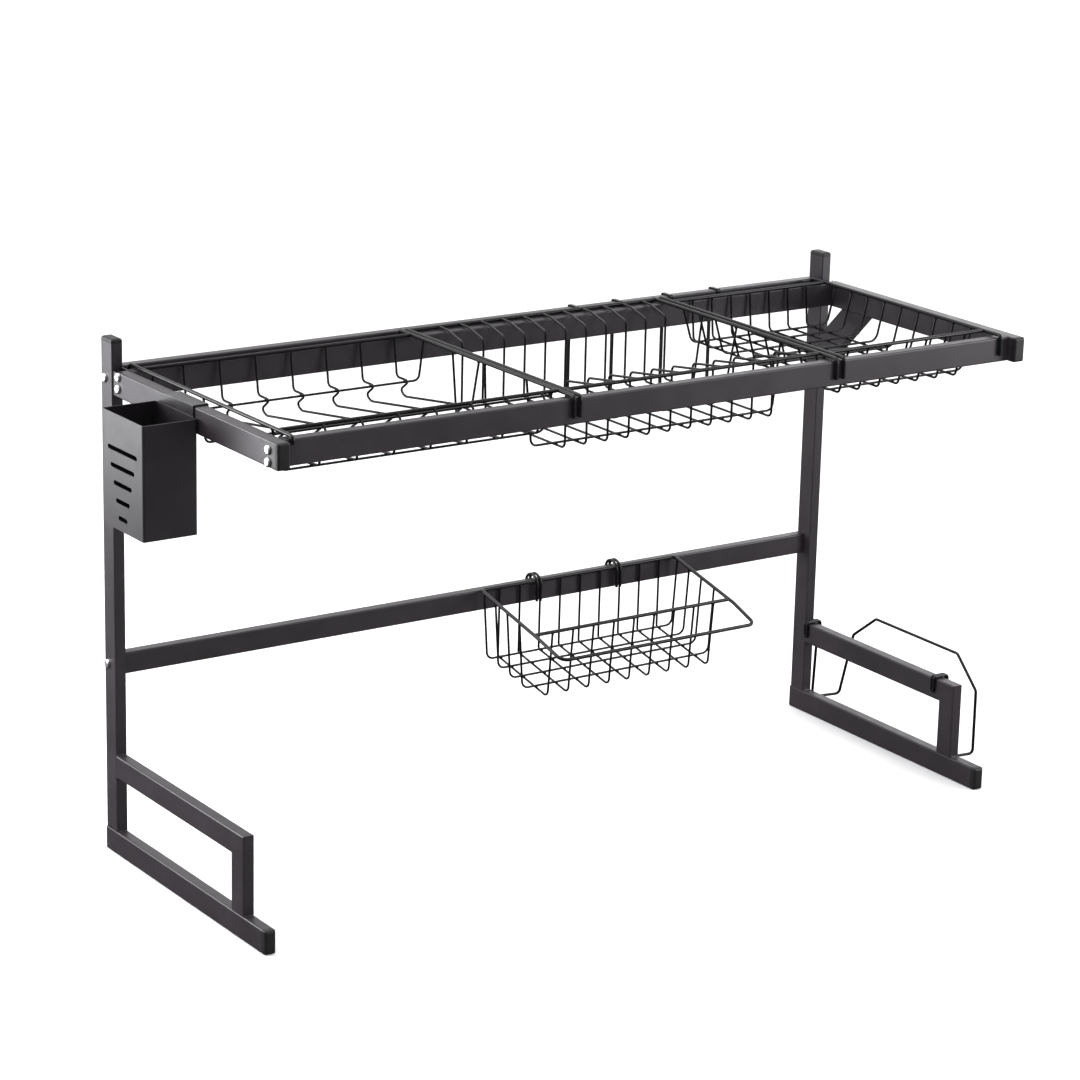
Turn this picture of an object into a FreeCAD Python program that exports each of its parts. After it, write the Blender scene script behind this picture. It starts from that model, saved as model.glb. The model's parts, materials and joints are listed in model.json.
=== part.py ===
import FreeCAD, Part
import math
import os

# Over-the-sink dish drying rack: a welded and screwed tube frame that
# carries three lift-out wire baskets, a hanging basket, a utensil box,
# a lid holder and four rail hooks.
# Millimetres. X runs from the left foot to the right foot, +Z is up.
# "depth" is measured forwards from the rear face of the uprights, so the
# point (x, depth, z) has Y = -depth and the front of the rack faces -Y.
# At the end everything is shifted so that the origin is the centre of the
# underside of the whole rack.

# Frame
OUTER_WIDTH = 865.0
TUBE_WIDTH = 12.0
TUBE_WALL = 1.2
TUBE_ROUND = 1.6
TOTAL_HEIGHT = 520.0
UPRIGHT_DEPTH = 22.0
CAP_HEAD = 4.5
FOOT_HEIGHT = 23.7
FOOT_FRONT = 308.0
FOOT_REAR_CAP = 1.5
FOOT_FRONT_CAP = 7.0
STEP_BOTTOM = 80.3
STEP_TOP = 103.2
STRUT_REAR = 251.0
STRUT_FRONT = 274.0
LOWER_BAR_Z = (182.0, 204.0)
UPPER_BAR_Z = (466.0, 491.0)
ARM_WIDTH = 13.2
ARM_REAR = 26.0
ARM_TOP_REAR = 33.0
ARM_TAB_REAR = 4.0
ARM_FRONT = 332.0
REAR_RAIL = (29.0, 41.0)
FRONT_RAIL = (314.0, 326.0)
REAR_RAIL_Z = (466.5, 491.5)
BRACE_ARM = (59.0, 100.0)
BRACE_UPRIGHT_Z = (388.0, 429.0)
DRAIN_HOLE = (10.3, 25.6)
DRAIN_HOLE_R = 1.0

# Screws and the threaded plugs inside the tube ends
BAR_SCREW_R = 2.5
RAIL_SCREW_R = 2.0
SCREW_HEAD_R = 4.6
SCREW_HEAD_H = 2.4
SCREW_LENGTH = 29.0
PLUG_LENGTH = 18.0
LOWER_BAR_SCREW = (7.0, 194.0)
UPPER_BAR_SCREW = (8.0, 480.0)
REAR_RAIL_SCREWS = ((35.5, 486.0), (35.5, 474.8))
FRONT_RAIL_SCREWS = ((320.0, 482.2), (320.0, 471.0))

# Wires
RIM_R = 1.9
GRID_R = 1.2
WELD = 0.1
GAP = 0.3
BASKET_RIM_Z = 493.7
HOOK_REAR_DEPTH = 20.0
HOOK_REAR_Z = 478.0
HOOK_FRONT_Z = 473.0
BOWL_LEFT_HOOK_Z = 486.5
RIM_REAR_DEPTH = 43.6
RIM_FRONT_DEPTH = 302.0
GRID_STEP = 2.0 * GRID_R - WELD

BOWL_X = (20.0, 320.0)
BOWL_WIRE_COUNT = 7
BOWL_WIRE_FIRST = 65.0
BOWL_WIRE_PITCH = 39.2

PLATE_X = (327.0, 630.0)
PLATE_WIRE_COUNT = 11
PLATE_WIRE_FIRST = 363.0
PLATE_WIRE_PITCH = 24.8
PLATE_BOTTOM_Z = 421.0
PLATE_REAR = 70.5
PLATE_FRONT = 252.5

MESH_X = (639.0, 840.0)
MESH_WIRE_COUNT = 7
MESH_WIRE_FIRST = 665.0
MESH_WIRE_PITCH = 25.0
MESH_CROSS_COUNT = 9
MESH_CROSS_FIRST = 62.4
MESH_CROSS_PITCH = 27.5
MESH_FLOOR = ((47.6, 450.5), (290.5, 447.5))

# Hanging basket under the lower crossbar
HANG_X = (428.0, 675.0)
HANG_REAR = 14.2
HANG_RIM_Z = 204.5
HANG_SLOPE = -0.215
HANG_KINK = 120.0
HANG_FRONT = 161.0
HANG_FRONT_Z = 169.5
HANG_WIRE_COUNT = 9
HANG_WIRE_FIRST = 450.5
HANG_WIRE_PITCH = 25.5
HANG_HOOK_R = 1.5
HANG_HOOK_X = (497.5, 599.5)

# Utensil box on the left arm
BOX_X = (-57.5, -1.5)
BOX_DEPTH = (113.5, 193.5)
BOX_Z = (372.5, 481.5)
BOX_WALL = 1.0
BOX_SLOT_HEIGHT = 4.4
BOX_SLOTS = ((448.4, 57.0), (432.3, 46.5), (416.3, 35.5), (400.2, 26.5), (384.4, 17.5))
PLATE_HOOK_DEPTH = (132.0, 185.0)
PLATE_HOOK_THICK = 1.2

# Lid holder on the right foot
LID_R = 1.6
LID_HOOK_Z = 105.1
LID_BASE_Z = 13.3
LID_INNER_X = 869.4
LID_OUTER_X = 903.0
LID_HOOK_DEPTH = (24.0, 244.0)

# Rail hooks bent from flat strip
STRIP_WIDTH = 3.8
STRIP_THICK = 1.3
RAIL_HOOK_X = (541.0, 596.0, 660.0, 722.0)

AXES = {"x": FreeCAD.Vector(1, 0, 0), "y": FreeCAD.Vector(0, 1, 0), "z": FreeCAD.Vector(0, 0, 1)}


def point(x, depth, z):
    return FreeCAD.Vector(x, -depth, z)


def block(xs, depths, zs):
    corner = point(xs[0], depths[1], zs[0])
    return Part.makeBox(xs[1] - xs[0], depths[1] - depths[0], zs[1] - zs[0], corner)


def edges_along(shape, axis):
    found = []
    for edge in shape.Edges:
        direction = edge.tangentAt(edge.FirstParameter)
        if edge.Curve.TypeId == "Part::GeomLine" and abs(direction.dot(AXES[axis])) > 0.999:
            found.append(edge)
    return found


def rounded_block(xs, depths, zs, axis, radius):
    solid = block(xs, depths, zs)
    return solid.makeFillet(radius, edges_along(solid, axis))


def shrink(span, amount):
    return (span[0] + amount, span[1] - amount)


def tube(xs, depths, zs, axis):
    """Rectangular tube with rounded long edges, open at both ends."""
    outer = rounded_block(xs, depths, zs, axis, TUBE_ROUND)
    inner_x = xs if axis == "x" else shrink(xs, TUBE_WALL)
    inner_depth = depths if axis == "y" else shrink(depths, TUBE_WALL)
    inner_z = zs if axis == "z" else shrink(zs, TUBE_WALL)
    inner = rounded_block(inner_x, inner_depth, inner_z, axis, TUBE_ROUND - TUBE_WALL)
    return outer.cut(inner)


def prism(xs, outline):
    """Upright plate: an outline in (depth, z) pushed out along X."""
    corners = [point(xs[0], depth, z) for depth, z in outline]
    corners.append(corners[0])
    face = Part.Face(Part.makePolygon(corners))
    return face.extrude(FreeCAD.Vector(xs[1] - xs[0], 0, 0))


def rod_x(x0, x1, depth, z, radius):
    return Part.makeCylinder(radius, x1 - x0, point(x0, depth, z), AXES["x"])


def edges_on_plane(shape, axis, value):
    found = []
    for edge in shape.Edges:
        spots = [getattr(vertex.Point, axis) for vertex in edge.Vertexes]
        if all(abs(spot - value) < 0.001 for spot in spots):
            found.append(edge)
    return found


def plug_insert(xs, depths, zs, axis):
    """The part of an end cap that pushes into a tube."""
    gap = TUBE_WALL + 0.1
    span_x = xs if axis == "x" else shrink(xs, gap)
    span_depth = depths if axis == "y" else shrink(depths, gap)
    span_z = zs if axis == "z" else shrink(zs, gap)
    return block(span_x, span_depth, span_z)


def cap(head, insert, axis, outer_value, round_over):
    """Plastic end cap: a head with a rounded outer edge and an insert."""
    solid = rounded_block(head[0], head[1], head[2], axis, TUBE_ROUND)
    rim = edges_on_plane(solid, axis, outer_value)
    solid = solid.makeFillet(round_over, rim)
    return solid.fuse(plug_insert(insert[0], insert[1], insert[2], axis)).removeSplitter()


def mirrored(shape):
    return shape.mirror(FreeCAD.Vector(OUTER_WIDTH / 2.0, 0, 0), AXES["x"])


def bend_at(before, corner, after, radius):
    """Tangent points and arc that round one corner of a wire."""
    back = (before - corner).normalize()
    ahead = (after - corner).normalize()
    half = back.getAngle(ahead) / 2.0
    reach = radius / math.tan(half)
    inward = (back + ahead).normalize()
    centre = corner + inward * (radius / math.sin(half))
    start = corner + back * reach
    end = corner + ahead * reach
    arc = Part.Arc(start, centre - inward * radius, end).toShape()
    return start, arc, end


def bent_path(corners, bends):
    edges = []
    current = corners[0]
    for index in range(1, len(corners) - 1):
        radius = bends[index - 1]
        start, arc, end = bend_at(corners[index - 1], corners[index], corners[index + 1], radius)
        edges.append(Part.makeLine(current, start))
        edges.append(arc)
        current = end
    edges.append(Part.makeLine(current, corners[-1]))
    return Part.Wire(edges)


def bent_wire(spots, bends, radius):
    """Round wire through the given (x, depth, z) corners."""
    corners = [point(x, depth, z) for x, depth, z in spots]
    path = bent_path(corners, bends)
    circle = Part.makeCircle(radius, corners[0], corners[1] - corners[0])
    return path.makePipeShell([Part.Wire(circle)], True, False)


def closed_wire(spots, bends, radius):
    """Round wire loop that closes in the middle of one side."""
    corners = [point(x, depth, z) for x, depth, z in spots]
    first = (corners[0] + corners[-1]) * 0.5
    path = bent_path([first] + corners + [first], bends)
    circle = Part.makeCircle(radius, first, corners[0] - first)
    return path.makePipeShell([Part.Wire(circle)], True, False)


def wire_in_depth(x, outline, bends, radius):
    return bent_wire([(x, depth, z) for depth, z in outline], bends, radius)


def bent_strip(x, outline, bends):
    """Flat strip bent in the plane x = constant."""
    corners = [point(x, depth, z) for depth, z in outline]
    path = bent_path(corners, bends)
    along = (corners[1] - corners[0]).normalize()
    wide = AXES["x"] * (STRIP_WIDTH / 2.0)
    thick = along.cross(AXES["x"]) * (STRIP_THICK / 2.0)
    start = corners[0]
    ring = [start - wide - thick, start + wide - thick, start + wide + thick, start - wide + thick]
    ring.append(ring[0])
    return path.makePipeShell([Part.makePolygon(ring)], True, False)


def screw(depth, z, shank):
    """Domed screw through the left side of the frame, pointing along +X."""
    head = rod_x(-SCREW_HEAD_H, 0.0, depth, z, SCREW_HEAD_R)
    head = head.makeFillet(SCREW_HEAD_H * 0.75, edges_on_plane(head, "x", -SCREW_HEAD_H))
    recess = (-SCREW_HEAD_H, -SCREW_HEAD_H + 0.8)
    slot = block(recess, (depth - 1.4, depth + 1.4), (z - 0.3, z + 0.3))
    cross = block(recess, (depth - 0.3, depth + 0.3), (z - 1.4, z + 1.4))
    body = rod_x(-0.2, SCREW_LENGTH, depth, z, shank)
    return head.fuse(body).cut(slot.fuse(cross))


def both_sides(shapes):
    return list(shapes) + [mirrored(shape) for shape in shapes]


def left_upright():
    z_top = TOTAL_HEIGHT - CAP_HEAD
    solid = tube((0.0, TUBE_WIDTH), (0.0, UPRIGHT_DEPTH), (FOOT_HEIGHT, z_top), "z")
    for depth, z in (LOWER_BAR_SCREW, UPPER_BAR_SCREW):
        solid = solid.cut(rod_x(-1.0, TUBE_WIDTH + 1.0, depth, z, BAR_SCREW_R + 0.2))
    drain = rod_x(-1.0, TUBE_WALL + 1.0, DRAIN_HOLE[0], DRAIN_HOLE[1], DRAIN_HOLE_R)
    return solid.cut(drain)


def left_upright_cap():
    xs = (0.0, TUBE_WIDTH)
    depths = (0.0, UPRIGHT_DEPTH)
    base = TOTAL_HEIGHT - CAP_HEAD
    head = (xs, depths, (base, TOTAL_HEIGHT))
    insert = (xs, depths, (base - 14.0, base))
    return cap(head, insert, "z", TOTAL_HEIGHT, 2.6)


def left_foot_beam():
    return tube((0.0, TUBE_WIDTH), (0.0, FOOT_FRONT), (0.0, FOOT_HEIGHT), "y")


def left_foot_cap(front):
    xs = (0.0, TUBE_WIDTH)
    zs = (0.0, FOOT_HEIGHT)
    if front:
        tip = FOOT_FRONT + FOOT_FRONT_CAP
        head = (xs, (FOOT_FRONT, tip), zs)
        insert = (xs, (FOOT_FRONT - 14.0, FOOT_FRONT), zs)
        return cap(head, insert, "y", -tip, 3.0)
    head = (xs, (-FOOT_REAR_CAP, 0.0), zs)
    insert = (xs, (0.0, 14.0), zs)
    return cap(head, insert, "y", FOOT_REAR_CAP, 1.0)


def left_foot_step():
    """Upper rail of the foot, mitred at its front end."""
    solid = tube((0.0, TUBE_WIDTH), (UPRIGHT_DEPTH, STRUT_FRONT), (STEP_BOTTOM, STEP_TOP), "y")
    outline = ((STRUT_REAR, STEP_BOTTOM), (STRUT_FRONT, STEP_TOP), (STRUT_FRONT + 9.0, STEP_TOP))
    outline = outline + ((STRUT_FRONT + 9.0, STEP_BOTTOM - 5.0), (STRUT_REAR, STEP_BOTTOM - 5.0))
    return solid.cut(prism((-1.0, TUBE_WIDTH + 1.0), outline))


def left_foot_strut():
    """Front post of the foot, mitred at its top end."""
    solid = tube((0.0, TUBE_WIDTH), (STRUT_REAR, STRUT_FRONT), (FOOT_HEIGHT, STEP_TOP), "z")
    outline = ((STRUT_REAR, STEP_BOTTOM), (STRUT_FRONT, STEP_TOP), (STRUT_FRONT, STEP_TOP + 9.0))
    outline = outline + ((STRUT_REAR - 5.0, STEP_TOP + 9.0), (STRUT_REAR - 5.0, STEP_BOTTOM))
    return solid.cut(prism((-1.0, TUBE_WIDTH + 1.0), outline))


def left_arm():
    """Side tube of the top frame; its inner wall runs back beside the upright."""
    zs = UPPER_BAR_Z
    solid = tube((0.0, ARM_WIDTH), (ARM_REAR, ARM_FRONT), zs, "y")
    notch_depths = (ARM_REAR - 1.0, ARM_TOP_REAR)
    notch = block((-1.0, ARM_WIDTH - TUBE_WALL), notch_depths, (zs[1] - TUBE_WALL, zs[1] + 1.0))
    tab = block((TUBE_WIDTH, ARM_WIDTH), (ARM_TAB_REAR, ARM_REAR + 6.0), (zs[0] + 1.0, zs[1]))
    solid = solid.cut(notch).fuse(tab).removeSplitter()
    depth, z = UPPER_BAR_SCREW
    solid = solid.cut(rod_x(TUBE_WIDTH - 1.0, ARM_WIDTH + 1.0, depth, z, BAR_SCREW_R + 0.2))
    for depth, z in REAR_RAIL_SCREWS + FRONT_RAIL_SCREWS:
        solid = solid.cut(rod_x(-1.0, ARM_WIDTH + 1.0, depth, z, RAIL_SCREW_R + 0.2))
    return solid


def left_arm_cap():
    xs = (0.0, ARM_WIDTH)
    tip = ARM_FRONT + 5.0
    head = (xs, (ARM_FRONT, tip), UPPER_BAR_Z)
    insert = (xs, (ARM_FRONT - 4.5, ARM_FRONT), UPPER_BAR_Z)
    return cap(head, insert, "y", -tip, 2.4)


def left_brace():
    """Short slanted tube between the arm's underside and the upright."""
    top = UPPER_BAR_Z[0]
    low, high = BRACE_UPRIGHT_Z
    front = BRACE_ARM[1]
    rear = BRACE_ARM[0]
    outline = ((rear, top), (front, top), (UPRIGHT_DEPTH, low), (UPRIGHT_DEPTH, high))
    outer = prism((0.0, TUBE_WIDTH), outline)
    shift = TUBE_WALL * math.sqrt(2.0)
    hole = [(rear + shift + 30.0, top + 30.0), (front - shift + 30.0, top + 30.0)]
    hole += [(UPRIGHT_DEPTH - 20.0, low + shift - 20.0), (UPRIGHT_DEPTH - 20.0, high - shift - 20.0)]
    return outer.cut(prism(shrink((0.0, TUBE_WIDTH), TUBE_WALL), hole))


def threaded_plug(xs, depths, zs, holes, radius):
    solid = block(xs, shrink(depths, TUBE_WALL + 0.1), shrink(zs, TUBE_WALL + 0.1))
    for depth, z in holes:
        solid = solid.cut(rod_x(xs[0] - 1.0, xs[1] + 1.0, depth, z, radius + 0.05))
    return solid


def side_wire(x, front_z):
    """Side wire of a basket rim, hooked over both rails."""
    front = FRONT_RAIL[1] + GAP + RIM_R
    outline = ((HOOK_REAR_DEPTH, HOOK_REAR_Z), (HOOK_REAR_DEPTH, BASKET_RIM_Z))
    outline = outline + ((front, BASKET_RIM_Z), (front, front_z))
    return wire_in_depth(x, outline, (4.0, 4.0), RIM_R)


def rim_bar(side_x, depth, z):
    reach = RIM_R - WELD
    return rod_x(side_x[0] + reach, side_x[1] - reach, depth, z, RIM_R)


def turned_up_wire(side_x, insets, top, bottom, bend):
    """Grid wire along X whose ends rise to the two side wires of a rim."""
    left, right = side_x
    spots = ((left, top[0], top[1]), (left + insets[0], bottom[0], bottom[1]))
    spots = spots + ((right - insets[1], bottom[0], bottom[1]), (right, top[0], top[1]))
    return bent_wire(spots, (bend, bend), GRID_R)


def bowl_basket():
    under_rim = BASKET_RIM_Z - RIM_R + WELD
    rim = [side_wire(BOWL_X[0], BOWL_LEFT_HOOK_Z), side_wire(BOWL_X[1], HOOK_FRONT_Z)]
    rim.append(rim_bar(BOWL_X, RIM_REAR_DEPTH, BASKET_RIM_Z))
    rim.append(rim_bar(BOWL_X, RIM_FRONT_DEPTH, BASKET_RIM_Z))
    outline = [(RIM_REAR_DEPTH, under_rim), (48.8, 454.8), (72.0, 454.8), (56.0, 443.3)]
    outline += [(64.0, 437.8), (174.0, 453.0), (154.5, 440.8), (162.5, 435.3), (236.0, 448.0)]
    outline += [(265.0, 450.8), (297.0, 454.0), (309.0, 488.5)]
    outline += [(RIM_FRONT_DEPTH + RIM_R - WELD, BASKET_RIM_Z)]
    bends = (5.0, 2.0, 3.0, 12.0, 2.0, 3.0, 12.0, 25.0, 25.0, 3.0, 3.0)
    cross = []
    for index in range(BOWL_WIRE_COUNT):
        x = BOWL_WIRE_FIRST + BOWL_WIRE_PITCH * index
        cross.append(wire_in_depth(x, outline, bends, GRID_R))
    rear_wire = ((66.0, under_rim), (64.0, 454.8 - GRID_STEP))
    middle_wire = ((166.0, under_rim), (161.5, 448.9))
    front_wire = ((292.0, under_rim), (284.0, 450.4))
    stop_wire = ((291.0, under_rim), (291.0, 486.9))
    long_wires = [turned_up_wire(BOWL_X, (4.0, 4.0), rear_wire[0], rear_wire[1], 6.0)]
    long_wires.append(turned_up_wire(BOWL_X, (4.0, 4.0), middle_wire[0], middle_wire[1], 6.0))
    long_wires.append(turned_up_wire(BOWL_X, (13.0, 4.0), front_wire[0], front_wire[1], 8.0))
    long_wires.append(turned_up_wire(BOWL_X, (3.0, 3.0), stop_wire[0], stop_wire[1], 2.5))
    return {
        "bowl_basket_rim": rim,
        "bowl_basket_cross_wires": cross,
        "bowl_basket_long_wires": long_wires,
    }


def plate_rack():
    under_rim = BASKET_RIM_Z - RIM_R + WELD
    rear_bar = HOOK_REAR_DEPTH + 6.5
    rim = [side_wire(x, HOOK_FRONT_Z) for x in PLATE_X]
    rim.append(rim_bar(PLATE_X, rear_bar, BASKET_RIM_Z))
    rim.append(rim_bar(PLATE_X, RIM_FRONT_DEPTH, BASKET_RIM_Z))
    outline = [(rear_bar + RIM_R - WELD, BASKET_RIM_Z), (43.0, 493.4), (PLATE_REAR, 486.5)]
    outline += [(PLATE_REAR, PLATE_BOTTOM_Z), (PLATE_FRONT, PLATE_BOTTOM_Z), (PLATE_FRONT, 487.0)]
    outline += [(RIM_FRONT_DEPTH - RIM_R + WELD, BASKET_RIM_Z)]
    bends = (15.0, 5.0, 6.0, 6.0, 5.0)
    cross = []
    for index in range(PLATE_WIRE_COUNT):
        x = PLATE_WIRE_FIRST + PLATE_WIRE_PITCH * index
        cross.append(wire_in_depth(x, outline, bends, GRID_R))
    long_wires = []
    for top_depth, depth in ((108.0, 106.0), (166.0, 159.0), (238.0, 238.0)):
        bottom = (depth, PLATE_BOTTOM_Z + GRID_STEP)
        long_wires.append(turned_up_wire(PLATE_X, (7.0, 7.0), (top_depth, under_rim), bottom, 7.0))
    return {
        "plate_rack_rim": rim,
        "plate_rack_slot_wires": cross,
        "plate_rack_long_wires": long_wires,
    }


def mesh_basket():
    under_rim = BASKET_RIM_Z - RIM_R + WELD
    rim = [side_wire(x, HOOK_FRONT_Z) for x in MESH_X]
    rim.append(rim_bar(MESH_X, RIM_REAR_DEPTH, BASKET_RIM_Z))
    rim.append(rim_bar(MESH_X, RIM_FRONT_DEPTH, BASKET_RIM_Z))
    rear_corner, front_corner = MESH_FLOOR
    outline = [(RIM_REAR_DEPTH, under_rim), rear_corner, front_corner, (RIM_FRONT_DEPTH, under_rim)]
    loops = []
    for index in range(MESH_WIRE_COUNT):
        x = MESH_WIRE_FIRST + MESH_WIRE_PITCH * index
        loops.append(wire_in_depth(x, outline, (5.0, 5.0), GRID_R))
    slope = (front_corner[1] - rear_corner[1]) / (front_corner[0] - rear_corner[0])
    cross = []
    for index in range(MESH_CROSS_COUNT):
        depth = MESH_CROSS_FIRST + MESH_CROSS_PITCH * index
        bottom = (depth, rear_corner[1] + slope * (depth - rear_corner[0]) + GRID_STEP)
        cross.append(turned_up_wire(MESH_X, (12.5, 9.5), (depth, under_rim), bottom, 10.0))
    return {
        "mesh_basket_rim": rim,
        "mesh_basket_depth_wires": loops,
        "mesh_basket_width_wires": cross,
    }


def hanging_rim_z(depth):
    return HANG_RIM_Z + HANG_SLOPE * (depth - HANG_REAR)


def hanging_basket():
    left, right = HANG_X
    kink_z = hanging_rim_z(HANG_KINK)
    spots = [(left, HANG_REAR, HANG_RIM_Z), (left, HANG_KINK, kink_z)]
    spots += [(left + 2.0, HANG_FRONT, HANG_FRONT_Z), (right - 2.0, HANG_FRONT, HANG_FRONT_Z)]
    spots += [(right, HANG_KINK, kink_z), (right, HANG_REAR, HANG_RIM_Z)]
    rim = closed_wire(spots, (5.0, 40.0, 9.0, 9.0, 40.0, 5.0), RIM_R)
    inner_depth = HANG_KINK - 7.0
    inner_z = hanging_rim_z(inner_depth)
    inner = rim_bar(HANG_X, inner_depth, inner_z)
    drop = RIM_R - WELD
    rear_foot = (HANG_REAR - 0.6, 129.0)
    front_foot = (106.5, 111.6)
    outline = ((HANG_REAR, HANG_RIM_Z - drop), rear_foot, front_foot, (inner_depth, inner_z - drop))
    cross = []
    for index in range(HANG_WIRE_COUNT):
        x = HANG_WIRE_FIRST + HANG_WIRE_PITCH * index
        cross.append(wire_in_depth(x, outline, (3.0, 6.0), GRID_R))
    floor_slope = (front_foot[1] - rear_foot[1]) / (front_foot[0] - rear_foot[0])
    long_wires = []
    for depth in (19.5, 41.0, 63.0, 86.0):
        floor_z = rear_foot[1] + floor_slope * (depth - rear_foot[0])
        bottom = (depth, floor_z + GRID_STEP * math.sqrt(1.0 + floor_slope ** 2))
        top = (depth, hanging_rim_z(depth) - drop)
        long_wires.append(turned_up_wire(HANG_X, (5.0, 5.0), top, bottom, 8.0))
    return {
        "hanging_basket_rim": [rim],
        "hanging_basket_front_bar": [inner],
        "hanging_basket_cross_wires": cross,
        "hanging_basket_long_wires": long_wires,
        "hanging_basket_hooks": [hanging_hook(x) for x in HANG_HOOK_X],
    }


def hanging_hook(x):
    """Hairpin of wire over the lower crossbar, welded in front of the basket rim."""
    front = HANG_REAR + RIM_R + HANG_HOOK_R - WELD
    rear = -(GAP + HANG_HOOK_R + 1.4)
    half = (front - rear) / 2.0
    shoulder = LOWER_BAR_Z[1] + 6.0
    spread = 2.3
    low = 186.0
    tail = 183.0
    left = x - spread
    right = x + spread
    spots = [(left, front, tail), (left, front, shoulder), (left, rear, shoulder)]
    spots += [(left, rear, low), (right, rear, low)]
    spots += [(right, rear, shoulder), (right, front, shoulder), (right, front, tail)]
    over = half - 0.2
    turn = spread - 0.1
    return bent_wire(spots, (over, over, turn, turn, over, over), HANG_HOOK_R)


def utensil_box():
    box = rounded_block(BOX_X, BOX_DEPTH, BOX_Z, "z", 2.5)
    inside_z = (BOX_Z[0] + BOX_WALL, BOX_Z[1] + 1.0)
    box = box.cut(rounded_block(shrink(BOX_X, BOX_WALL), shrink(BOX_DEPTH, BOX_WALL), inside_z, "z", 1.5))
    middle = (BOX_DEPTH[0] + BOX_DEPTH[1]) / 2.0
    for z, length in BOX_SLOTS:
        depths = (middle - length / 2.0, middle + length / 2.0)
        zs = (z - BOX_SLOT_HEIGHT / 2.0, z + BOX_SLOT_HEIGHT / 2.0)
        through_wall = (BOX_X[0] - 1.0, BOX_X[0] + 3.0)
        box = box.cut(rounded_block(through_wall, depths, zs, "x", BOX_SLOT_HEIGHT / 2.0 - 0.1))
    top = UPPER_BAR_Z[1] + GAP
    back = BOX_X[1]
    lip = ARM_WIDTH + GAP
    thick = PLATE_HOOK_THICK
    leg = block((back, back + thick), PLATE_HOOK_DEPTH, (440.0, top + thick))
    bridge = block((back, lip + thick), PLATE_HOOK_DEPTH, (top, top + thick))
    drop = block((lip, lip + thick), PLATE_HOOK_DEPTH, (470.0, top + thick))
    hook = leg.fuse(bridge).fuse(drop).removeSplitter()
    shoulder = edges_on_plane(hook, "z", top + thick)
    shoulder = [edge for edge in shoulder if edge.Length > 20.0]
    hook = hook.makeFillet(thick * 0.6, shoulder)
    return {"utensil_box": [box], "utensil_box_hook_plate": [hook]}


def lid_holder():
    """One bent wire: two hairpin hooks, two shelf legs and the outer loop."""
    inner = LID_INNER_X
    outer = LID_OUTER_X
    leg = OUTER_WIDTH - TUBE_WIDTH - GAP - LID_R
    rear, front = LID_HOOK_DEPTH
    pair = 3.6
    tail = 78.0
    low = 89.0
    top = LID_HOOK_Z
    base = LID_BASE_Z
    spots = [(inner, rear + pair, tail), (inner, rear + pair, top)]
    spots += [(leg, rear + pair, top), (leg, rear + pair, low)]
    spots += [(leg, rear, low), (leg, rear, top), (inner, rear, top), (inner, rear - 5.0, base)]
    spots += [(outer, rear + 1.0, base), (outer, 45.5, 88.0), (outer, 83.0, 116.5), (outer, 220.0, 116.0)]
    spots += [(outer, 253.0, 83.5), (outer, 253.5, base), (inner, front + 5.0, base)]
    spots += [(inner, front, top), (leg, front, top), (leg, front, low)]
    spots += [(leg, front - pair, low), (leg, front - pair, top)]
    spots += [(inner, front - pair, top), (inner, front - pair, tail)]
    hairpin = (3.5, 2.5, 1.75, 1.75, 2.5, 3.5)
    bends = hairpin + (5.0, 5.0, 6.0, 6.0, 6.0, 6.0, 5.0, 5.0) + hairpin[::-1]
    return {"lid_holder_wire": [bent_wire(spots, bends, LID_R)]}


def rail_hook(x):
    """Flat strip hook: short lip in front of the crossbar, long stem behind it."""
    lip = TUBE_WIDTH + GAP + STRIP_THICK / 2.0
    top = UPPER_BAR_Z[1] + GAP + STRIP_THICK / 2.0
    stem = -2.6
    outline = [(lip, 478.0), (lip, top), (stem, top), (stem, 366.0)]
    outline += [(stem + 16.0, 366.0), (stem + 16.0, 380.0)]
    return bent_strip(x, outline, (2.0, 2.0, 7.9, 7.9))


side_frame = {
    "upright": left_upright(),
    "upright_cap": left_upright_cap(),
    "foot_beam": left_foot_beam(),
    "foot_step_beam": left_foot_step(),
    "foot_strut": left_foot_strut(),
    "arm": left_arm(),
    "arm_cap": left_arm_cap(),
    "brace": left_brace(),
    "foot_front_cap": left_foot_cap(True),
    "foot_rear_cap": left_foot_cap(False),
}
nodes = {}
for name, solid in side_frame.items():
    nodes["left_" + name] = [solid]
    nodes["right_" + name] = [mirrored(solid)]

bar_depths = (0.0, TUBE_WIDTH)
lower_x = (TUBE_WIDTH, OUTER_WIDTH - TUBE_WIDTH)
upper_x = (ARM_WIDTH, OUTER_WIDTH - ARM_WIDTH)
nodes["lower_crossbar"] = [tube(lower_x, bar_depths, LOWER_BAR_Z, "x")]
nodes["upper_crossbar"] = [tube(upper_x, bar_depths, UPPER_BAR_Z, "x")]
nodes["frame_rear_rail"] = [tube(upper_x, REAR_RAIL, REAR_RAIL_Z, "x")]
nodes["frame_front_rail"] = [tube(upper_x, FRONT_RAIL, UPPER_BAR_Z, "x")]

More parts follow.
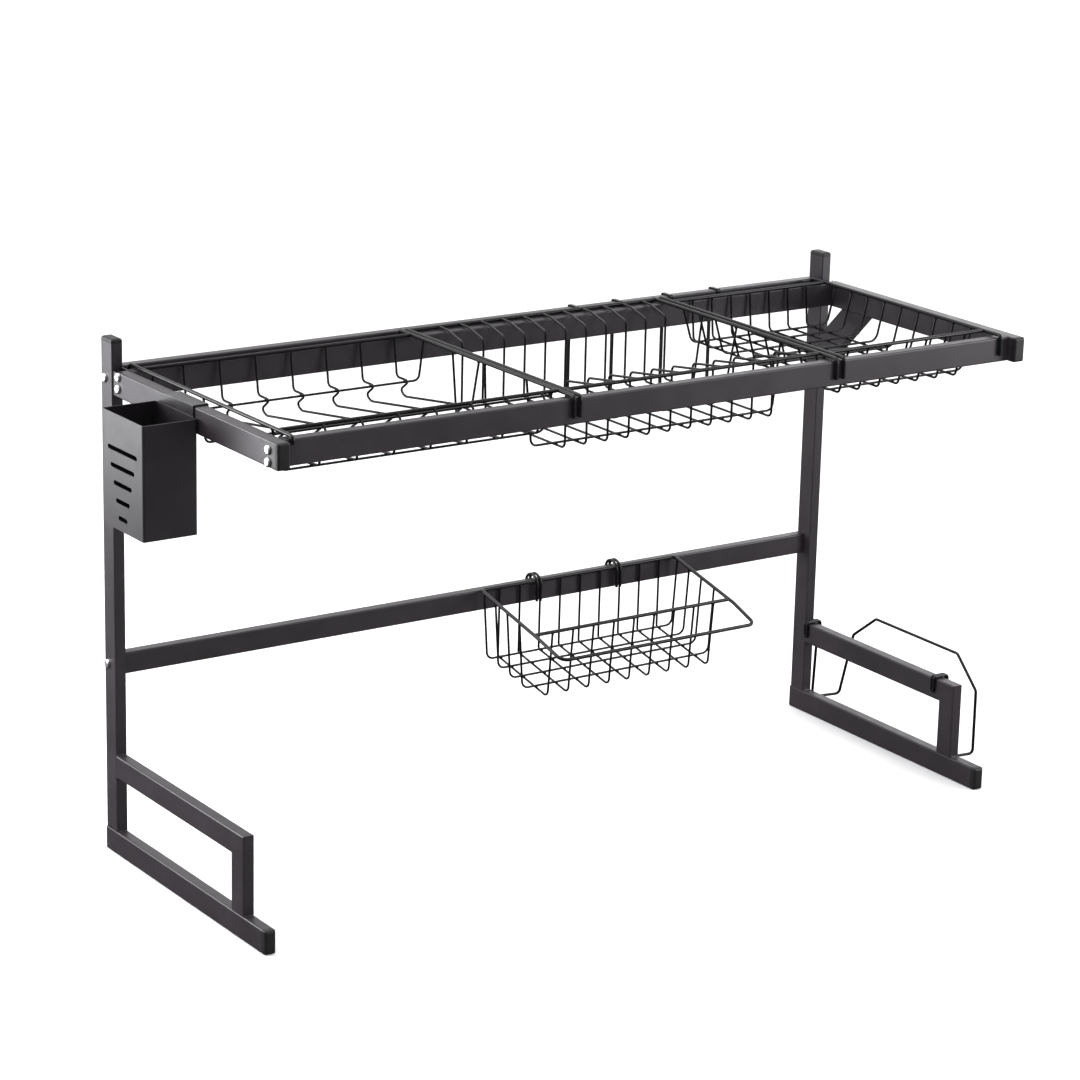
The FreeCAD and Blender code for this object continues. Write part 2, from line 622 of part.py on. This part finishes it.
bar_screws = [screw(LOWER_BAR_SCREW[0], LOWER_BAR_SCREW[1], BAR_SCREW_R)]
bar_screws.append(screw(UPPER_BAR_SCREW[0], UPPER_BAR_SCREW[1], BAR_SCREW_R))
nodes["crossbar_screws"] = both_sides(bar_screws)
rail_screws = [screw(depth, z, RAIL_SCREW_R) for depth, z in REAR_RAIL_SCREWS + FRONT_RAIL_SCREWS]
nodes["rail_screws"] = both_sides(rail_screws)
lower_plug_x = (TUBE_WIDTH + 0.2, TUBE_WIDTH + 0.2 + PLUG_LENGTH)
upper_plug_x = (ARM_WIDTH + 0.2, ARM_WIDTH + 0.2 + PLUG_LENGTH)
lower_plug = threaded_plug(lower_plug_x, bar_depths, LOWER_BAR_Z, (LOWER_BAR_SCREW,), BAR_SCREW_R)
upper_plug = threaded_plug(upper_plug_x, bar_depths, UPPER_BAR_Z, (UPPER_BAR_SCREW,), BAR_SCREW_R)
nodes["crossbar_end_plugs"] = both_sides([lower_plug, upper_plug])
rear_plug = threaded_plug(upper_plug_x, REAR_RAIL, REAR_RAIL_Z, REAR_RAIL_SCREWS, RAIL_SCREW_R)
front_plug = threaded_plug(upper_plug_x, FRONT_RAIL, UPPER_BAR_Z, FRONT_RAIL_SCREWS, RAIL_SCREW_R)
nodes["rail_end_plugs"] = both_sides([rear_plug, front_plug])

for group in (bowl_basket(), plate_rack(), mesh_basket(), hanging_basket(), utensil_box(), lid_holder()):
    nodes.update(group)
for index, x in enumerate(RAIL_HOOK_X):
    nodes["rail_hook_" + str(index + 1)] = [rail_hook(x)]

whole = FreeCAD.BoundBox()
for solids in nodes.values():
    for solid in solids:
        whole.add(solid.optimalBoundingBox(False))
shift = FreeCAD.Vector(-whole.Center.x, -whole.Center.y, -whole.ZMin)

os.makedirs("parts", exist_ok=True)
for name, solids in nodes.items():
    for solid in solids:
        solid.translate(shift)
    shape = solids[0] if len(solids) == 1 else Part.makeCompound(solids)
    shape.exportStep("parts/" + name + ".step")
    print(name, len(solids), "valid", shape.isValid(), "volume", round(shape.Volume, 1))
print("shift", shift, "size", whole.XLength, whole.YLength, whole.ZLength)
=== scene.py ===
import json
import math
import random

import bmesh
import bpy
from mathutils import Matrix, Vector, geometry, noise
from mathutils.bvhtree import BVHTree


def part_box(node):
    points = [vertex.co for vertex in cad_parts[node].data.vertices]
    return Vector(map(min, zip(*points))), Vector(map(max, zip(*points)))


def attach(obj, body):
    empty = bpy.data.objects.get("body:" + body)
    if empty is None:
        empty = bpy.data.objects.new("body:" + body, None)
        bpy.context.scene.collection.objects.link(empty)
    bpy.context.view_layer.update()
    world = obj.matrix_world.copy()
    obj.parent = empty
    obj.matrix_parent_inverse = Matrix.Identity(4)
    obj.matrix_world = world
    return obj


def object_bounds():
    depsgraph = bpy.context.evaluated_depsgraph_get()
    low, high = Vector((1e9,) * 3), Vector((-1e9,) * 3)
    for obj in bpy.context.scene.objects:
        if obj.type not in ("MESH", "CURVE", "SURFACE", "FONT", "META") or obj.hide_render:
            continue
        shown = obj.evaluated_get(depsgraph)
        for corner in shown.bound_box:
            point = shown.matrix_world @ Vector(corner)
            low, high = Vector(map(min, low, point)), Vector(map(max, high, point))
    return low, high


MM = 0.001

# Camera that looks down at the rack from its front left corner.
CAMERA_PLACE = (-1.898679, -2.741109, 1.279868)
CAMERA_YAW = 0.598956
CAMERA_PITCH = 0.286381
CAMERA_ROLL = 0.023763
SENSOR_WIDTH = 36.0
LENS = 116.7
FAR_CLIP = 60.0

# Linear colours of the finishes.
FRAME_BLACK = (0.0240, 0.0195, 0.0238)
WIRE_BLACK = (0.0060, 0.0052, 0.0060)
SHEET_BLACK = (0.0160, 0.0135, 0.0162)
CAP_BLACK = (0.0100, 0.0095, 0.0102)
PLATED = (0.95, 0.95, 0.95)
ZINC = (0.56, 0.57, 0.60)
FLOOR_WHITE = (0.90, 0.90, 0.90)

# Fillet welds of the frame: the ends taper over a few rings.
BEAD_RADIUS = 1.15 * MM
BEAD_INSET = 0.9 * MM
BEAD_STEP = 0.35 * MM
BEAD_RIPPLE = 1.5 * MM
BEAD_RIPPLE_HEIGHT = 0.09
BEAD_WANDER = 0.10
BEAD_WANDER_SCALE = 400.0
BEAD_TAPER_RINGS = 4.0
BEAD_END_SIZE = 0.12
BEAD_SIDES = 14
BRACE_MOUTH = 41.0 * MM

# Tacks of weld metal where wires cross.
TACK_CLUSTER = 4.5 * MM
TACK_SIZE = 1.55 * MM
TACK_LUMP = 0.12
SEED = 20

# Studio: the sky is brightest towards SKY_AIM. Each pair of pairs holds the two
# cosines between which the brightness climbs, and the brightness at each.
SKY_AIM = (0.25, 0.45, 0.86)
SKY_AS_LIGHT = ((-0.30, 0.70), (0.10, 1.50))
SKY_IN_REFLECTIONS = ((-0.08, 0.80), (0.05, 1.10))
SKY_BEHIND_RACK = 1.05
LAMP_WHITE = (0.97, 0.97, 1.0)
FLOOR_HALF = 12.0
FLOOR_DROP = 0.2 * MM

# Softboxes: name, place, point aimed at (None for the middle of the rack),
# width and height, power in watts.
SOFTBOXES = (
    ("key_from_above", (-0.6, 0.6, 2.6), None, (2.4, 1.6), 30.0),
    ("side_from_left", (-1.20, 0.74, 0.56), (-0.43, 0.0, 0.28), (0.8, 0.9), 20.0),
    ("front_from_right", (1.50, -1.15, 0.75), (0.45, -0.10, 0.40), (0.9, 0.9), 24.0),
    ("rim_from_behind", (1.90, 1.80, 1.25), (0.35, 0.0, 0.49), (0.8, 0.8), 2.5),
)

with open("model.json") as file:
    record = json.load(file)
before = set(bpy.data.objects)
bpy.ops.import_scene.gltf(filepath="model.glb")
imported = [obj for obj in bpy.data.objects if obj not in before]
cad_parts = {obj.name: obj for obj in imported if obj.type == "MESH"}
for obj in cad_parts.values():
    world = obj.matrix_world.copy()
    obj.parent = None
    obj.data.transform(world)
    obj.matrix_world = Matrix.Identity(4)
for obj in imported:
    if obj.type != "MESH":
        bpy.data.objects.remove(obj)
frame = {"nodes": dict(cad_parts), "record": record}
cad_low, cad_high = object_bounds()
rng = random.Random(SEED)


# ---------------------------------------------------------------- materials
class Tree:
    """Node tree of a new material, with its Principled shader."""

    def __init__(self, name):
        self.material = bpy.data.materials.new(name)
        self.material.use_nodes = True
        self.nodes = self.material.node_tree.nodes
        self.links = self.material.node_tree.links
        self.shader = self.nodes["Principled BSDF"]
        self.place = self.nodes.new("ShaderNodeTexCoord").outputs["Object"]

    def link(self, source, target):
        self.links.new(source, target)

    def noise(self, scale, detail=2.0, roughness=0.5, stretch=None):
        """Noise in the object's own space; scale is in features per metre."""
        texture = self.nodes.new("ShaderNodeTexNoise")
        texture.inputs["Scale"].default_value = scale
        texture.inputs["Detail"].default_value = detail
        texture.inputs["Roughness"].default_value = roughness
        place = self.place
        if stretch:
            mapping = self.nodes.new("ShaderNodeMapping")
            mapping.inputs["Scale"].default_value = stretch
            self.link(self.place, mapping.inputs["Vector"])
            place = mapping.outputs["Vector"]
        self.link(place, texture.inputs["Vector"])
        return texture.outputs["Fac"]

    def cells(self, scale):
        texture = self.nodes.new("ShaderNodeTexVoronoi")
        texture.inputs["Scale"].default_value = scale
        self.link(self.place, texture.inputs["Vector"])
        return texture.outputs["Distance"]

    def spread(self, value, low, high, from_low=0.3, from_high=0.7):
        node = self.nodes.new("ShaderNodeMapRange")
        node.inputs["From Min"].default_value = from_low
        node.inputs["From Max"].default_value = from_high
        node.inputs["To Min"].default_value = low
        node.inputs["To Max"].default_value = high
        self.link(value, node.inputs["Value"])
        return node.outputs["Result"]

    def mix(self, factor, first, second):
        """Colour mix; first and second are colours or sockets."""
        node = self.nodes.new("ShaderNodeMix")
        node.data_type = "RGBA"
        self.link(factor, node.inputs["Factor"])
        for value, slot in ((first, "A"), (second, "B")):
            socket = [i for i in node.inputs if i.name == slot and i.type == "RGBA"][0]
            if isinstance(value, tuple):
                socket.default_value = (*value, 1.0)
            else:
                self.link(value, socket)
        return [o for o in node.outputs if o.type == "RGBA"][0]

    def math(self, operation, first, second):
        node = self.nodes.new("ShaderNodeMath")
        node.operation = operation
        for value, socket in ((first, node.inputs[0]), (second, node.inputs[1])):
            if isinstance(value, float):
                socket.default_value = value
            else:
                self.link(value, socket)
        return node.outputs[0]

    def bump(self, height, distance, before=None):
        node = self.nodes.new("ShaderNodeBump")
        node.inputs["Distance"].default_value = distance
        self.link(height, node.inputs["Height"])
        if before is not None:
            self.link(before, node.inputs["Normal"])
        return node.outputs["Normal"]


def scaled(colour, factor):
    return tuple(c * factor for c in colour)


def powder_coat(name, colour, rough, ior, peel_scale, peel_depth):
    """Satin powder coat: orange peel, faint flecks and slow changes of gloss."""
    tree = Tree(name)
    slow = tree.noise(14.0, 3.0)
    fleck = tree.spread(tree.cells(1500.0), 1.0, 0.0, 0.02, 0.16)
    body = tree.mix(tree.spread(slow, 0.0, 1.0), scaled(colour, 0.86), scaled(colour, 1.16))
    flecked = tree.mix(tree.math("MULTIPLY", fleck, 0.25), body, scaled(colour, 1.8))
    tree.link(flecked, tree.shader.inputs["Base Color"])
    gloss = tree.spread(tree.noise(55.0, 3.0, 0.6), rough - 0.04, rough + 0.05)
    tree.link(gloss, tree.shader.inputs["Roughness"])
    peel = tree.bump(tree.noise(peel_scale, 2.0, 0.45), peel_depth)
    tree.link(peel, tree.shader.inputs["Normal"])
    tree.shader.inputs["IOR"].default_value = ior
    return tree.material


def moulded_plastic(name, colour):
    """Fine-grained matt plastic with a faint mottle."""
    tree = Tree(name)
    mottle = tree.spread(tree.noise(40.0, 3.0), 0.0, 1.0)
    tree.link(tree.mix(mottle, scaled(colour, 0.85), scaled(colour, 1.2)), tree.shader.inputs["Base Color"])
    gloss = tree.spread(tree.noise(90.0, 2.0), 0.42, 0.52)
    tree.link(gloss, tree.shader.inputs["Roughness"])
    tree.shader.inputs["IOR"].default_value = 1.4
    grain = tree.bump(tree.cells(2200.0), 0.02 * MM)
    tree.link(grain, tree.shader.inputs["Normal"])
    return tree.material


def plated_metal(name, colour, rough, stretch):
    """Plated steel with fine drawn lines and a little haze."""
    tree = Tree(name)
    haze = tree.spread(tree.noise(220.0, 3.0), 0.0, 1.0)
    tree.link(tree.mix(haze, scaled(colour, 0.93), colour), tree.shader.inputs["Base Color"])
    lines = tree.noise(900.0, 2.0, 0.5, stretch)
    tree.link(tree.spread(lines, rough * 0.8, rough * 1.3), tree.shader.inputs["Roughness"])
    tree.link(tree.bump(lines, 0.004 * MM), tree.shader.inputs["Normal"])
    tree.shader.inputs["Metallic"].default_value = 1.0
    return tree.material


def floor_paint(name, colour):
    tree = Tree(name)
    cloud = tree.spread(tree.noise(1.2, 2.0), 0.0, 1.0)
    tree.link(tree.mix(cloud, scaled(colour, 0.99), colour), tree.shader.inputs["Base Color"])
    tree.link(tree.spread(tree.noise(6.0, 2.0), 0.75, 0.85), tree.shader.inputs["Roughness"])
    return tree.material


FINISHES = {
    "frame_powder_coat": powder_coat("frame_powder_coat", FRAME_BLACK, 0.38, 1.5, 420.0, 0.04 * MM),
    "wire_powder_coat": powder_coat("wire_powder_coat", WIRE_BLACK, 0.30, 1.38, 700.0, 0.02 * MM),
    "utensil_box_paint": powder_coat("utensil_box_paint", SHEET_BLACK, 0.36, 1.5, 300.0, 0.02 * MM),
    "end_caps": moulded_plastic("end_caps", CAP_BLACK),
    "screws": plated_metal("screws", PLATED, 0.30, (1.0, 1.0, 1.0)),
    "end_plugs": plated_metal("end_plugs", ZINC, 0.34, (0.1, 1.0, 1.0)),
}


def give_finish(thing, slot):
    thing.data.materials.clear()
    thing.data.materials.append(FINISHES[slot])


for part in frame["record"]["subparts"]:
    give_finish(frame["nodes"][part["node"]], part["material_slot"])


# ---------------------------------------------------------------- weld detail
def new_piece(name, shape, body, slot):
    """Puts a bmesh into the scene as a smooth piece that rides on a body."""
    mesh = bpy.data.meshes.new(name)
    shape.to_mesh(mesh)
    shape.free()
    mesh.polygons.foreach_set("use_smooth", [True] * len(mesh.polygons))
    piece = bpy.data.objects.new(name, mesh)
    bpy.context.scene.collection.objects.link(piece)
    give_finish(piece, slot)
    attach(piece, body)


def add_bead(shape, x0, x1, y, z):
    """Rippled weld bead along X at an inside corner."""
    count = max(4, int((x1 - x0) / BEAD_STEP))
    rings = []
    for index in range(count + 1):
        x = x0 + (x1 - x0) * index / count
        end = min(index, count - index) / BEAD_TAPER_RINGS
        taper = math.sqrt(min(1.0, BEAD_END_SIZE + end))
        ripple = 1.0 + BEAD_RIPPLE_HEIGHT * abs(math.sin(math.pi * x / BEAD_RIPPLE))
        wander = noise.noise(Vector((x, y, z)) * BEAD_WANDER_SCALE) * BEAD_WANDER
        radius = BEAD_RADIUS * (taper * ripple + wander)
        ring = []
        for side in range(BEAD_SIDES):
            angle = 2.0 * math.pi * side / BEAD_SIDES
            across = radius * math.cos(angle)
            upwards = radius * math.sin(angle)
            ring.append(shape.verts.new((x, y + across, z + upwards)))
        rings.append(ring)
    for first, second in zip(rings, rings[1:]):
        for side in range(BEAD_SIDES):
            after = (side + 1) % BEAD_SIDES
            shape.faces.new((first[side], first[after], second[after], second[side]))
    shape.faces.new(rings[0][::-1])
    shape.faces.new(rings[-1])


def side_frame_beads(side):
    """Fillet welds of one side frame, at the inside corners of its tubes."""
    upright_low, upright_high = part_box(side + "_upright")
    step_low, step_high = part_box(side + "_foot_step_beam")
    strut_low, strut_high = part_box(side + "_foot_strut")
    brace_low, brace_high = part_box(side + "_brace")
    x0 = upright_low.x + BEAD_INSET
    x1 = upright_high.x - BEAD_INSET
    upright_front = upright_low.y
    foot_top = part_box(side + "_foot_beam")[1].z
    corners = [
        (upright_front, foot_top),
        (upright_front, step_low.z),
        (upright_front, step_high.z),
        (strut_low.y, foot_top),
        (strut_high.y, foot_top),
        (strut_high.y, step_low.z),
        (brace_low.y, brace_high.z),
        (brace_low.y + BRACE_MOUTH, brace_high.z),
        (upright_front, brace_low.z),
        (upright_front, brace_low.z + BRACE_MOUTH),
    ]
    shape = bmesh.new()
    for y, z in corners:
        add_bead(shape, x0, x1, y, z)
    new_piece(side + "_frame_welds", shape, "frame", "frame_powder_coat")


def surface_tree(thing):
    points = [v.co.copy() for v in thing.data.vertices]
    thing.data.calc_loop_triangles()
    faces = [tuple(t.vertices) for t in thing.data.loop_triangles]
    corners = [[points[i] for i in face] for face in faces]
    return BVHTree.FromPolygons(points, faces), corners


def edge_hits(edges_of, face):
    """Points where the edges of one triangle pass through another."""
    hits = []
    for index in range(3):
        start = edges_of[index]
        ray = edges_of[(index + 1) % 3] - start
        hit = geometry.intersect_ray_tri(face[0], face[1], face[2], ray, start, True)
        if hit is not None and 0.0 <= (hit - start).dot(ray) <= ray.length_squared:
            hits.append(hit)
    return hits


def crossings(first, second):
    """Middles of the places where the wires of two nodes run into each other."""
    tree_a, corners_a = first
    tree_b, corners_b = second
    groups = []
    for index_a, index_b in tree_a.overlap(tree_b):
        face_a = corners_a[index_a]
        face_b = corners_b[index_b]
        for spot in edge_hits(face_a, face_b) + edge_hits(face_b, face_a):
            for group in groups:
                if (group[0] / group[1] - spot).length < TACK_CLUSTER:
                    group[0] += spot
                    group[1] += 1
                    break
            else:
                groups.append([spot.copy(), 1])
    return [group[0] / group[1] for group in groups]


def add_tack(shape, spot):
    """Small uneven drop of weld metal under the coat."""
    made = bmesh.ops.create_icosphere(shape, subdivisions=3, radius=1.0)
    size = TACK_SIZE * rng.uniform(0.88, 1.12)
    stretch = Vector((rng.uniform(0.9, 1.15), rng.uniform(0.9, 1.15), rng.uniform(0.8, 1.0)))
    for vertex in made["verts"]:
        lump = 1.0 + TACK_LUMP * noise.noise(vertex.co * 1.4 + spot * 500.0)
        vertex.co = spot + Vector(a * b for a, b in zip(vertex.co, stretch)) * size * lump


def wire_tacks(body):
    nodes = frame["record"]["behaviour"]["bodies"][body]
    trees = {n: surface_tree(frame["nodes"][n]) for n in nodes}
    spots = []
    for index, first in enumerate(nodes):
        for second in nodes[index + 1:]:
            spots += crossings(trees[first], trees[second])
    shape = bmesh.new()
    for spot in spots:
        add_tack(shape, spot)
    new_piece(body + "_weld_tacks", shape, body, "wire_powder_coat")


for side in ("left", "right"):
    side_frame_beads(side)
for body in ("bowl_basket", "plate_rack", "mesh_basket", "hanging_basket"):
    wire_tacks(body)


# ---------------------------------------------------------------- stage
def make_floor():
    shape = bmesh.new()
    bmesh.ops.create_grid(shape, x_segments=8, y_segments=8, size=FLOOR_HALF)
    mesh = bpy.data.meshes.new("floor")
    shape.to_mesh(mesh)
    shape.free()
    floor = bpy.data.objects.new("floor", mesh)
    bpy.context.scene.collection.objects.link(floor)
    floor.location.z = -FLOOR_DROP
    mesh.materials.append(floor_paint("floor_paint", FLOOR_WHITE))
    floor.visible_glossy = False


def sky_level(nodes, links, cosines, levels):
    """Brightness that grows towards the back, the right and the top."""
    direction = nodes.new("ShaderNodeTexCoord").outputs["Generated"]
    aim = nodes.new("ShaderNodeVectorMath")
    aim.operation = "DOT_PRODUCT"
    aim.inputs[1].default_value = Vector(SKY_AIM).normalized()
    links.new(direction, aim.inputs[0])
    level = nodes.new("ShaderNodeMapRange")
    level.interpolation_type = "SMOOTHSTEP"
    level.inputs["From Min"].default_value = cosines[0]
    level.inputs["From Max"].default_value = cosines[1]
    level.inputs["To Min"].default_value = levels[0]
    level.inputs["To Max"].default_value = levels[1]
    links.new(aim.outputs["Value"], level.inputs["Value"])
    return level.outputs["Result"]


def make_world():
    """White to the camera; softer in reflections than as light."""
    world = bpy.data.worlds.new("studio")
    bpy.context.scene.world = world
    world.use_nodes = True
    nodes = world.node_tree.nodes
    links = world.node_tree.links
    background = nodes["Background"]
    path = nodes.new("ShaderNodeLightPath")
    by_kind = nodes.new("ShaderNodeMix")
    links.new(path.outputs["Is Glossy Ray"], by_kind.inputs[0])
    links.new(sky_level(nodes, links, *SKY_AS_LIGHT), by_kind.inputs[2])
    links.new(sky_level(nodes, links, *SKY_IN_REFLECTIONS), by_kind.inputs[3])
    seen = nodes.new("ShaderNodeMix")
    links.new(path.outputs["Is Camera Ray"], seen.inputs[0])
    links.new(by_kind.outputs[0], seen.inputs[2])
    seen.inputs[3].default_value = SKY_BEHIND_RACK
    links.new(seen.outputs[0], background.inputs["Strength"])
    background.inputs["Color"].default_value = (1.0, 1.0, 1.0, 1.0)


def softbox(name, place, target, size, power):
    lamp = bpy.data.lights.new(name, "AREA")
    lamp.shape = "RECTANGLE"
    lamp.size = size[0]
    lamp.size_y = size[1]
    lamp.energy = power
    lamp.color = LAMP_WHITE
    holder = bpy.data.objects.new(name, lamp)
    bpy.context.scene.collection.objects.link(holder)
    holder.location = place
    aim = Vector(target) - Vector(place)
    holder.rotation_euler = aim.to_track_quat("-Z", "Y").to_euler()


def make_camera():
    yaw = CAMERA_YAW
    pitch = CAMERA_PITCH
    ahead = Vector((math.sin(yaw), math.cos(yaw), 0.0))
    forward = ahead * math.cos(pitch) - Vector((0.0, 0.0, math.sin(pitch)))
    level = Vector((math.cos(yaw), -math.sin(yaw), 0.0))
    raised = level.cross(forward)
    right = level * math.cos(CAMERA_ROLL) + raised * math.sin(CAMERA_ROLL)
    upward = raised * math.cos(CAMERA_ROLL) - level * math.sin(CAMERA_ROLL)
    data = bpy.data.cameras.new("camera")
    data.sensor_width = SENSOR_WIDTH
    data.lens = LENS
    data.clip_end = FAR_CLIP
    camera = bpy.data.objects.new("camera", data)
    bpy.context.scene.collection.objects.link(camera)
    turn = Matrix((right, upward, -forward)).transposed().to_4x4()
    camera.matrix_world = Matrix.Translation(CAMERA_PLACE) @ turn
    bpy.context.scene.camera = camera


make_floor()
make_world()
centre = (cad_low + cad_high) / 2.0
for name, place, target, size, power in SOFTBOXES:
    softbox(name, place, target or centre, size, power)
make_camera()
bpy.context.scene.view_settings.view_transform = "Standard"
